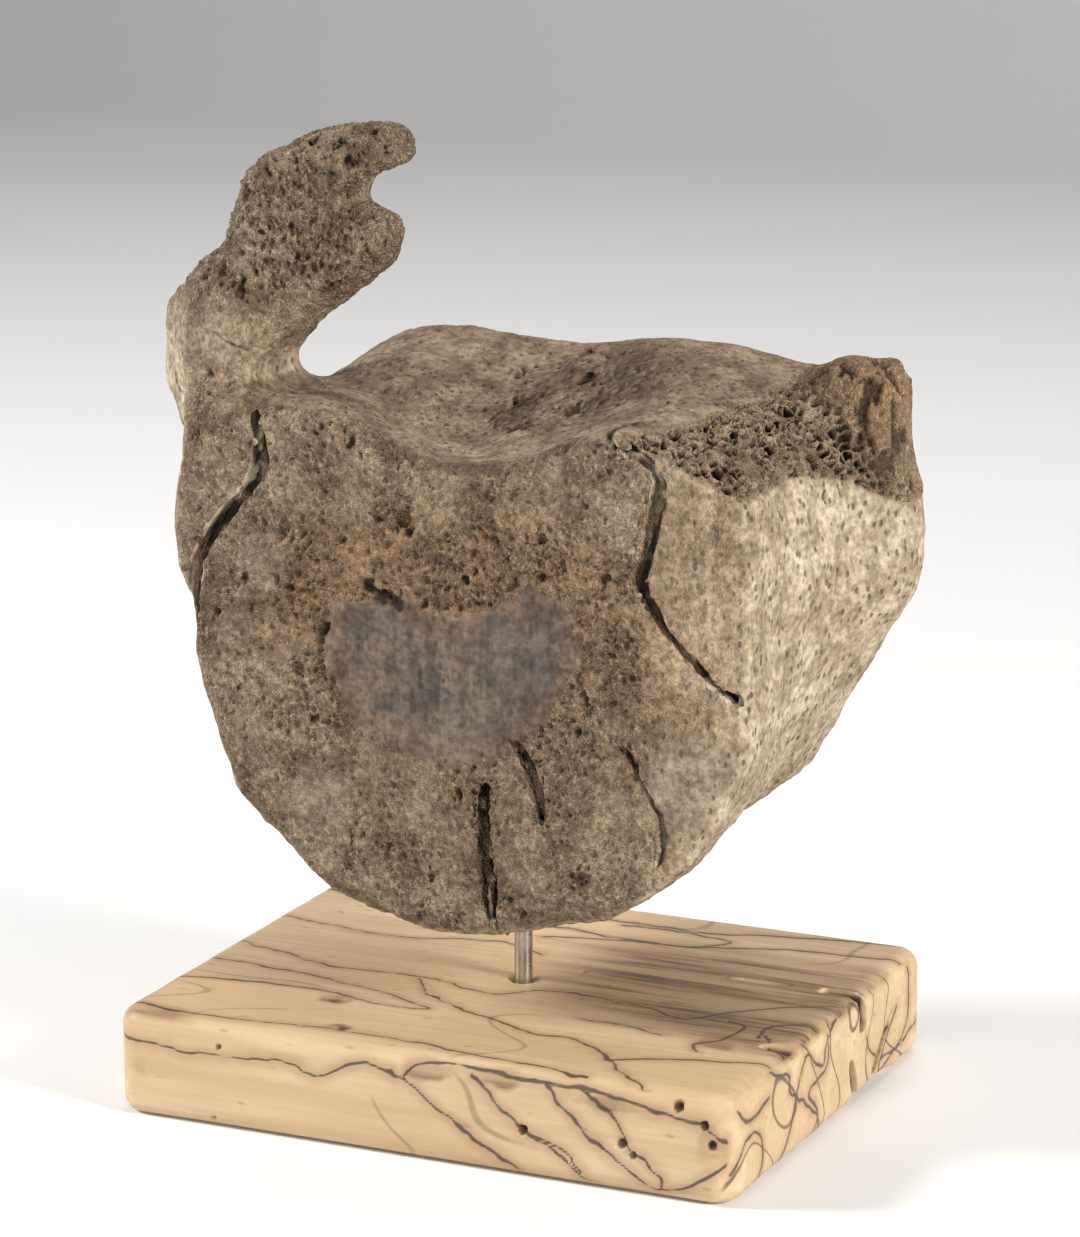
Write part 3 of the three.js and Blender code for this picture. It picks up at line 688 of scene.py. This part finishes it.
def pitting_group():
    """Small round holes: a mask of the holes and a height that falls into them."""
    group, tree, given, out = new_group(
        "Pitting",
        [("Scale", "NodeSocketFloat", 700.0), ("Stretch", "NodeSocketVector", (1.0, 1.0, 1.0)),
         ("Size", "NodeSocketFloat", 0.35)],
        [("Mask", "NodeSocketFloat"), ("Height", "NodeSocketFloat")])
    place = tree.node("ShaderNodeTexCoord").outputs["Object"]
    stretched = tree.vector("MULTIPLY", place, given["Stretch"])
    cells = tree.node("ShaderNodeTexVoronoi", {"Vector": stretched, "Scale": given["Scale"]})
    edge = tree.math("MULTIPLY", given["Size"], 0.45)
    tree.feed(out["Mask"], tree.ramp(cells.outputs["Distance"], given["Size"], edge))
    tree.feed(out["Height"], tree.ramp(cells.outputs["Distance"], edge, given["Size"]))
    return group


def new_material(name):
    material = bpy.data.materials.new(name)
    material.use_nodes = True
    material.node_tree.nodes.clear()
    tree = Tree(material.node_tree)
    shader = tree.node("ShaderNodeBsdfPrincipled")
    output = tree.node("ShaderNodeOutputMaterial")
    tree.feed(output.inputs["Surface"], shader.outputs["BSDF"])
    return material, tree, shader


def sponge_group():
    """Open sponge: crooked thin walls round small cavities, as a mask of the cavities and a height."""
    group, tree, given, out = new_group(
        "Sponge",
        [("Scale", "NodeSocketFloat", 700.0), ("Crook", "NodeSocketFloat", 0.0006),
         ("Wall", "NodeSocketFloat", 0.16)],
        [("Mask", "NodeSocketFloat"), ("Height", "NodeSocketFloat")])
    place = tree.node("ShaderNodeTexCoord").outputs["Object"]
    drift = tree.node("ShaderNodeTexNoise", {"Vector": place, "Scale": 900.0, "Detail": 2.0}).outputs["Color"]
    centred = tree.vector("SUBTRACT", drift, (0.5, 0.5, 0.5))
    crooked = tree.vector("ADD", place, tree.vector("SCALE", centred, given["Crook"]))
    settings = {"Vector": crooked, "Scale": given["Scale"]}
    cells = tree.node("ShaderNodeTexVoronoi", settings, feature="DISTANCE_TO_EDGE")
    open_from = tree.math("MULTIPLY", given["Wall"], 0.4)
    tree.feed(out["Mask"], tree.ramp(cells.outputs["Distance"], open_from, given["Wall"]))
    tree.feed(out["Height"], tree.ramp(cells.outputs["Distance"], given["Wall"], 0.0))
    return group


def bone_material(mottle, pitting, sponge):
    material, t, shader = new_material("fossil_bone")
    names = ("hollow_shade", "bare", "crack_shade", "grey", "worn", "plum", "skin", "rust", "floor")
    hollow_shade, bare, crack_shade, grey, worn, plum, skin, rust, floor = (t.mask(name) for name in names)
    broad = t.group(mottle, scale=34.0, low=0.38, high=0.62).outputs["Mask"]
    medium = t.group(mottle, scale=110.0, low=0.36, high=0.64, detail=6.0).outputs["Mask"]
    fine = t.group(mottle, scale=520.0, low=0.34, high=0.66, detail=6.0)
    upright = t.group(mottle, scale=380.0, stretch=(1.0, 1.0, 0.12), low=0.35, high=0.65, detail=5.0)
    pinholes = t.group(pitting, scale=430.0, stretch=(1.0, 1.0, 0.6), size=0.3)
    walls = t.group(sponge, scale=720.0, crook=0.0011, wall=0.2)
    colour = t.mix(broad, (0.175, 0.118, 0.072), (0.29, 0.208, 0.134))
    colour = t.mix(t.math("MULTIPLY", medium, 0.6), colour, (0.385, 0.295, 0.2))
    tan = t.mix(medium, (0.12, 0.082, 0.052), (0.25, 0.185, 0.122))
    colour = t.mix(t.math("MULTIPLY", floor, 0.8), colour, tan)
    cream = t.mix(medium, (0.26, 0.203, 0.138), (0.43, 0.355, 0.26))
    colour = t.mix(t.math("MULTIPLY", skin, t.ramp(broad, 0.0, 1.0, 0.6, 0.98)), colour, cream)
    rusted = t.math("MULTIPLY", rust, t.ramp(medium, 0.0, 1.0, 0.35, 0.85))
    colour = t.mix(rusted, colour, (0.3, 0.168, 0.088))
    drab = t.mix(medium, (0.125, 0.098, 0.072), (0.21, 0.172, 0.13))
    colour = t.mix(t.math("MULTIPLY", worn, 0.5), colour, drab)
    umber = t.mix(medium, (0.078, 0.051, 0.037), (0.15, 0.1, 0.07))
    colour = t.mix(t.math("MULTIPLY", plum, 0.85), colour, umber)
    ash = t.mix(upright.outputs["Mask"], (0.042, 0.036, 0.032), (0.1, 0.083, 0.07))
    colour = t.mix(t.math("MULTIPLY", grey, t.ramp(medium, 0.0, 1.0, 0.92, 0.72)), colour, ash)
    # Paler on the high points of the fine relief and darker in its low ones, with painted shade in the small
    # cavities between the sponge walls
    grain = t.ramp(fine.outputs["Height"], 0.3, 0.7, 0.62, 1.38)
    colour = t.mix(1.0, colour, grain, blend="MULTIPLY")
    open_share = t.math("MULTIPLY", bare, t.ramp(medium, 0.0, 1.0, 0.85, 0.5))
    cavity_shade = t.math("MULTIPLY", walls.outputs["Mask"], open_share)
    colour = t.mix(cavity_shade, colour, (0.075, 0.047, 0.028))
    # Painted shade in the pinholes where the surface is sealed, not bare or grey
    sealed = t.math("SUBTRACT", 1.0, t.math("MAXIMUM", bare, grey), clamp=True)
    pinhole_shade = t.math("MULTIPLY", pinholes.outputs["Mask"], t.math("MULTIPLY", sealed, 0.7))
    colour = t.mix(pinhole_shade, colour, (0.06, 0.038, 0.024))
    # Painted shade, nearly black, in the pits, sponge, honeycomb, shreds, pores and vessel openings
    colour = t.mix(t.ramp(hollow_shade, 0.2, 0.95, 0.0, 0.93), colour, (0.034, 0.021, 0.0125))
    # Painted shadow, nearly black, down the open cracks
    colour = t.mix(t.ramp(crack_shade, 0.2, 0.8, 0.0, 0.9), colour, (0.018, 0.011, 0.007))
    t.feed(shader.inputs["Base Color"], colour)
    t.feed(shader.inputs["Roughness"], t.ramp(grey, 0.0, 1.0, 0.92, 0.72))
    shader.inputs["Specular IOR Level"].default_value = 0.25
    relief = t.math("MULTIPLY", walls.outputs["Height"], bare)
    pin_height = t.math("MULTIPLY", pinholes.outputs["Height"], t.math("MULTIPLY", sealed, 0.6))
    relief = t.math("ADD", relief, pin_height)
    relief = t.math("ADD", relief, t.math("MULTIPLY", fine.outputs["Height"], 0.45))
    fibre_height = t.math("MULTIPLY", upright.outputs["Height"], t.math("MAXIMUM", skin, grey))
    relief = t.math("ADD", relief, fibre_height)
    bump = t.node("ShaderNodeBump", {"Strength": 0.9, "Distance": 0.0008, "Height": relief})
    t.feed(shader.inputs["Normal"], bump.outputs["Normal"])
    return material


def wood_material(mottle, pitting):
    material, t, shader = new_material("spalted_maple")
    line, stain, hollow_shade, end_grain = (t.mask(n) for n in ("zone_line", "stain", "hollow_shade", "end_grain"))
    grain = t.group(mottle, scale=520.0, stretch=(0.05, 1.0, 1.0), low=0.36, high=0.66, detail=5.0)
    bands = t.group(mottle, scale=90.0, stretch=(0.1, 1.0, 1.0), low=0.35, high=0.7, detail=3.0)
    clouds = t.group(mottle, scale=26.0, stretch=(0.5, 1.0, 1.0), low=0.42, high=0.66, detail=4.0)
    drift = t.group(mottle, scale=17.0, stretch=(0.45, 1.0, 1.0), detail=1.2)
    flecks = t.group(pitting, scale=230.0, stretch=(0.35, 1.0, 1.0), size=0.16)
    colour = t.mix(bands.outputs["Mask"], (0.53, 0.375, 0.218), (0.62, 0.475, 0.305))
    colour = t.mix(t.math("MULTIPLY", grain.outputs["Mask"], 0.4), colour, (0.47, 0.315, 0.17))
    colour = t.mix(t.math("MULTIPLY", clouds.outputs["Mask"], 0.4), colour, (0.46, 0.31, 0.17))
    brown = t.mix(grain.outputs["Mask"], (0.085, 0.045, 0.024), (0.33, 0.19, 0.092))
    streaks = t.group(mottle, scale=150.0, stretch=(0.07, 1.0, 1.0), low=0.38, high=0.62, detail=5.0)
    soaked = t.math("MULTIPLY", stain, t.ramp(streaks.outputs["Mask"], 0.0, 1.0, 0.4, 0.95))
    colour = t.mix(soaked, colour, brown)
    # Where decay stopped: a thin dark line, with a soft brown edge to it
    unsteady = t.math("ADD", line, t.math("MULTIPLY", t.math("SUBTRACT", grain.outputs["Height"], 0.5), 0.6))
    colour = t.mix(t.ramp(unsteady, 3.6, 0.3, 0.0, 0.4), colour, (0.27, 0.155, 0.075))
    bold = t.ramp(clouds.outputs["Height"], 0.35, 0.65, 0.42, 0.78)
    colour = t.mix(t.ramp(unsteady, bold, 0.22, 0.0, 0.86), colour, (0.04, 0.026, 0.019))
    # Finer lines of the same kind follow the levels of a slow noise
    rings = t.math("PINGPONG", t.math("MULTIPLY", drift.outputs["Height"], 9.0), 0.5)
    few = t.ramp(clouds.outputs["Height"], 0.46, 0.58)
    shown = t.math("MAXIMUM", t.math("MULTIPLY", few, 0.5), end_grain)
    faint = t.math("MULTIPLY", t.ramp(rings, 0.045, 0.012, 0.0, 0.8), shown)
    colour = t.mix(faint, colour, (0.07, 0.042, 0.026))
    colour = t.mix(t.math("MULTIPLY", flecks.outputs["Mask"], 0.35), colour, (0.2, 0.11, 0.055))
    # Painted shade, nearly black, in the worm holes and the recesses made in CAD
    colour = t.mix(t.math("MULTIPLY", hollow_shade, 0.92), colour, (0.045, 0.025, 0.014))
    t.feed(shader.inputs["Base Color"], colour)
    t.feed(shader.inputs["Roughness"], t.ramp(grain.outputs["Height"], 0.3, 0.7, 0.42, 0.6))
    shader.inputs["Specular IOR Level"].default_value = 0.4
    relief = t.math("ADD", grain.outputs["Height"], t.math("MULTIPLY", flecks.outputs["Height"], 0.4))
    bump = t.node("ShaderNodeBump", {"Strength": 0.16, "Distance": 0.0004, "Height": relief})
    t.feed(shader.inputs["Normal"], bump.outputs["Normal"])
    return material


def steel_material(mottle, pitting):
    material, t, shader = new_material("satin_steel")
    drawn = t.group(mottle, scale=900.0, stretch=(1.0, 1.0, 0.03), low=0.3, high=0.7, detail=3.0)
    smudges = t.group(mottle, scale=120.0, low=0.4, high=0.65)
    specks = t.group(pitting, scale=900.0, stretch=(1.0, 1.0, 0.5), size=0.16)
    colour = t.mix(drawn.outputs["Mask"], (0.42, 0.39, 0.36), (0.56, 0.53, 0.5))
    colour = t.mix(t.math("MULTIPLY", specks.outputs["Mask"], 0.5), colour, (0.16, 0.12, 0.09))
    t.feed(shader.inputs["Base Color"], colour)
    shader.inputs["Metallic"].default_value = 1.0
    t.feed(shader.inputs["Roughness"], t.ramp(smudges.outputs["Mask"], 0.0, 1.0, 0.24, 0.4))
    bump = t.node("ShaderNodeBump", {"Strength": 0.1, "Distance": 0.0002, "Height": drawn.outputs["Height"]})
    t.feed(shader.inputs["Normal"], bump.outputs["Normal"])
    return material


# Studio


def make_studio():
    bm = bmesh.new()
    half_width, near, bend, radius, top = 3.0, -2.2, 1.6, 0.9, 2.6
    profile = [(near, 0.0), (bend, 0.0)]
    turns = np.linspace(0.1, math.pi / 2, 14)
    profile += [(bend + radius * math.sin(a), radius * (1 - math.cos(a))) for a in turns]
    profile.append((bend + radius, top))
    rows = [[bm.verts.new((x, y, z)) for x in (-half_width, half_width)] for y, z in profile]
    for (a, b), (c, d) in zip(rows, rows[1:]):
        bm.faces.new((a, b, d, c))
    mesh = bpy.data.meshes.new("studio_floor")
    bm.to_mesh(mesh)
    bm.free()
    mesh.polygons.foreach_set("use_smooth", np.ones(len(mesh.polygons), bool))
    floor = bpy.data.objects.new("studio_floor", mesh)
    bpy.context.scene.collection.objects.link(floor)
    material, _, shader = new_material("pale_paper")
    shader.inputs["Base Color"].default_value = (0.78, 0.775, 0.77, 1.0)
    shader.inputs["Roughness"].default_value = 0.85
    mesh.materials.append(material)

    world = bpy.data.worlds.new("studio_air")
    bpy.context.scene.world = world
    world.use_nodes = True
    world.node_tree.nodes["Background"].inputs["Color"].default_value = (0.92, 0.95, 1.0, 1.0)
    world.node_tree.nodes["Background"].inputs["Strength"].default_value = 0.16
    for name, place, target, size, power, tint in (
        ("key_softbox", (1.45, -0.3, 0.7), (0.0, 0.0, 0.14), 0.4, 30.0, (1.0, 0.97, 0.93)),
        ("left_softbox", (-1.3, -0.55, 0.95), (0.0, 0.0, 0.14), 0.35, 28.0, (1.0, 0.98, 0.96)),
        ("front_softbox", (0.2, -1.9, 0.5), (0.0, 0.0, 0.08), 0.9, 12.0, (1.0, 0.99, 0.98)),
        ("top_softbox", (-0.1, 0.7, 1.4), (0.0, 0.0, 0.1), 0.9, 9.0, (1.0, 1.0, 1.0)),
    ):
        lamp = bpy.data.lights.new(name, "AREA")
        lamp.shape = "SQUARE"
        lamp.size = size
        lamp.energy = power
        lamp.color = tint
        holder = bpy.data.objects.new(name, lamp)
        holder.location = place
        holder.rotation_euler = (Vector(target) - Vector(place)).to_track_quat("-Z", "Y").to_euler()
        bpy.context.scene.collection.objects.link(holder)

    camera = bpy.data.cameras.new("photo_camera")
    camera.lens = CAMERA_LENS
    camera.sensor_width = 36.0
    camera.clip_end = 20.0
    holder = bpy.data.objects.new("photo_camera", camera)
    holder.location = CAMERA_PLACE
    holder.rotation_euler = (Vector(CAMERA_TARGET) - Vector(CAMERA_PLACE)).to_track_quat("-Z", "Y").to_euler()
    bpy.context.scene.collection.objects.link(holder)
    bpy.context.scene.camera = holder
    bpy.context.scene.view_settings.view_transform = "Standard"


MOTTLE = mottle_group()
PITTING = pitting_group()
make_studio()
make_bone(bone_material(MOTTLE, PITTING, sponge_group()))
make_plank(wood_material(MOTTLE, PITTING))
make_rod(steel_material(MOTTLE, PITTING))
